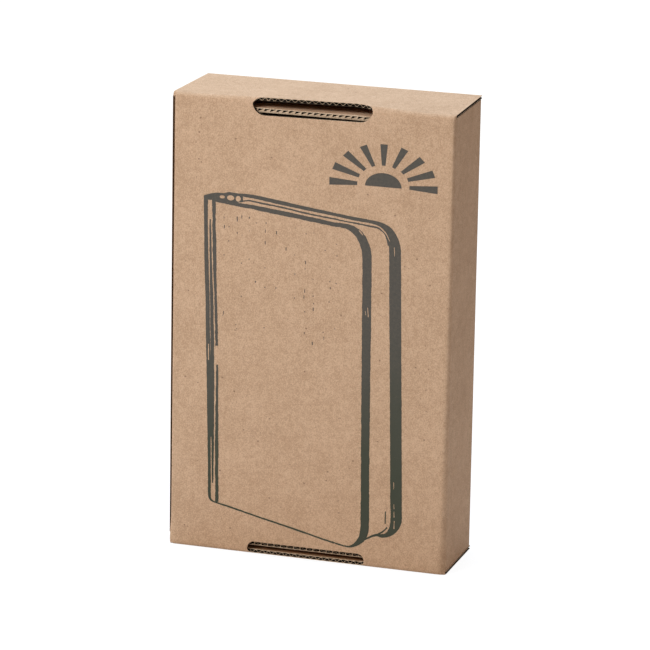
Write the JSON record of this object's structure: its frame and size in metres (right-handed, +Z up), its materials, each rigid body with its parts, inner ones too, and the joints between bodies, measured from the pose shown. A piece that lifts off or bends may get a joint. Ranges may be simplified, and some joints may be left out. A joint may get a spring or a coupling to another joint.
{
  "type": "boxed folding book lamp",
  "caption": "Folding book lamp with wooden covers and a pleated paper fan, packed in a hinged corrugated kraft carton with finger slots.",
  "frame": {"origin": "middle of the surface that the carton stands on, at the foot of its bounding box", "axes": "+Z up along the carton's height, +X to the right seen from the front, printed front towards -Y"},
  "size_m": [0.118, 0.0396, 0.19],
  "materials": {
    "kraft_board": "brown corrugated board, matt, fibrous, printed with dark grey ink",
    "kraft_inner": "brown corrugated board, inner liner and raw fluted edges",
    "wood_board": "satin wood veneer, grain upright",
    "hinge_leather": "thin brown leather strip, fine grain",
    "fan_board": "smooth pale lining board",
    "fan_paper": "white pleated paper, matt, translucent",
    "diffuser_plastic": "milky frosted plastic",
    "cap_plastic": "moulded cream plastic, fine texture",
    "button_plastic": "dark grey moulded plastic",
    "circuit_board": "white solder mask",
    "led_chip": "yellow phosphor in a white case",
    "bright_steel": "bright nickel plated steel",
    "battery_foil": "silver foil pouch",
    "wire_sleeve": "silicone sleeve"
  },
  "bodies": {
    "tray": {"back_panel": "kraft_board", "left_wall": "kraft_board", "right_wall": "kraft_board", "top_end_wall": "kraft_inner", "bottom_end_wall": "kraft_inner", "top_left_tab": "kraft_inner", "bottom_left_tab": "kraft_inner", "top_right_tab": "kraft_inner", "bottom_right_tab": "kraft_inner", "back_cover": "wood_board", "spine_shell": "wood_board", "back_hinge_strip": "hinge_leather", "back_fan_board": "fan_board", "paper_fan": "fan_paper", "light_diffuser": "diffuser_plastic", "charge_indicator": "diffuser_plastic", "top_end_cap": "cap_plastic", "bottom_end_cap": "cap_plastic", "tact_switch": "button_plastic", "cover_sensor": "button_plastic", "led_board": "circuit_board", "control_board": "circuit_board", "led_chip_1": "led_chip", "led_chip_2": "led_chip", "led_chip_3": "led_chip", "led_chip_4": "led_chip", "led_chip_5": "led_chip", "led_chip_6": "led_chip", "led_chip_7": "led_chip", "led_chip_8": "led_chip", "usb_socket": "bright_steel", "back_magnet_lower": "bright_steel", "back_magnet_upper": "bright_steel", "top_cap_screw": "bright_steel", "bottom_cap_screw": "bright_steel", "battery_cell": "battery_foil", "battery_lead_positive": "wire_sleeve", "battery_lead_negative": "wire_sleeve", "led_lead_positive": "wire_sleeve", "led_lead_negative": "wire_sleeve"},
    "lid": {"lid_panel": "kraft_board"},
    "top_flap": {"top_flap": "kraft_board"},
    "bottom_flap": {"bottom_flap": "kraft_board"},
    "tuck_flap": {"tuck_flap": "kraft_board"},
    "lamp_cover": {"front_cover": "wood_board", "front_hinge_strip": "hinge_leather", "front_fan_board": "fan_board", "front_magnet_lower": "bright_steel", "front_magnet_upper": "bright_steel", "sensor_magnet": "bright_steel"},
    "mode_button": {"mode_button": "button_plastic"}
  },
  "joints": [
    {"name": "lid_fold", "type": "hinge", "parent": "tray", "child": "lid", "pos_m": [0.0574, -0.01815, 0.095], "axis": [0, 0, 1], "range_deg": [0, 140]},
    {"name": "top_flap_fold", "type": "hinge", "parent": "lid", "child": "top_flap", "pos_m": [0, -0.01815, 0.1884], "axis": [1, 0, 0], "range_deg": [0, 120]},
    {"name": "bottom_flap_fold", "type": "hinge", "parent": "lid", "child": "bottom_flap", "pos_m": [0, -0.01815, 0.0016], "axis": [-1, 0, 0], "range_deg": [0, 120]},
    {"name": "tuck_flap_fold", "type": "hinge", "parent": "lid", "child": "tuck_flap", "pos_m": [-0.0553, -0.01815, 0.095], "axis": [0, 0, -1], "range_deg": [0, 30]},
    {"name": "lamp_cover_hinge", "type": "hinge", "parent": "tray", "child": "lamp_cover", "pos_m": [0.038, -0.01115, 0.0912], "axis": [0, 0, 1], "range_deg": [0, 105], "deforming": ["paper_fan", "front_hinge_strip"]},
    {"name": "mode_button_travel", "type": "slide", "parent": "tray", "child": "mode_button", "axis": [0, 0, -1], "range_m": [0, 0.0005], "stiffness_N_per_m": 1500}
  ],
  "couplings": [
    {"joint": "tuck_flap_fold", "follows": "lid_fold", "ratio": 0.2},
    {"joint": "lamp_cover_hinge", "follows": "lid_fold", "ratio": 0.75}
  ]
}
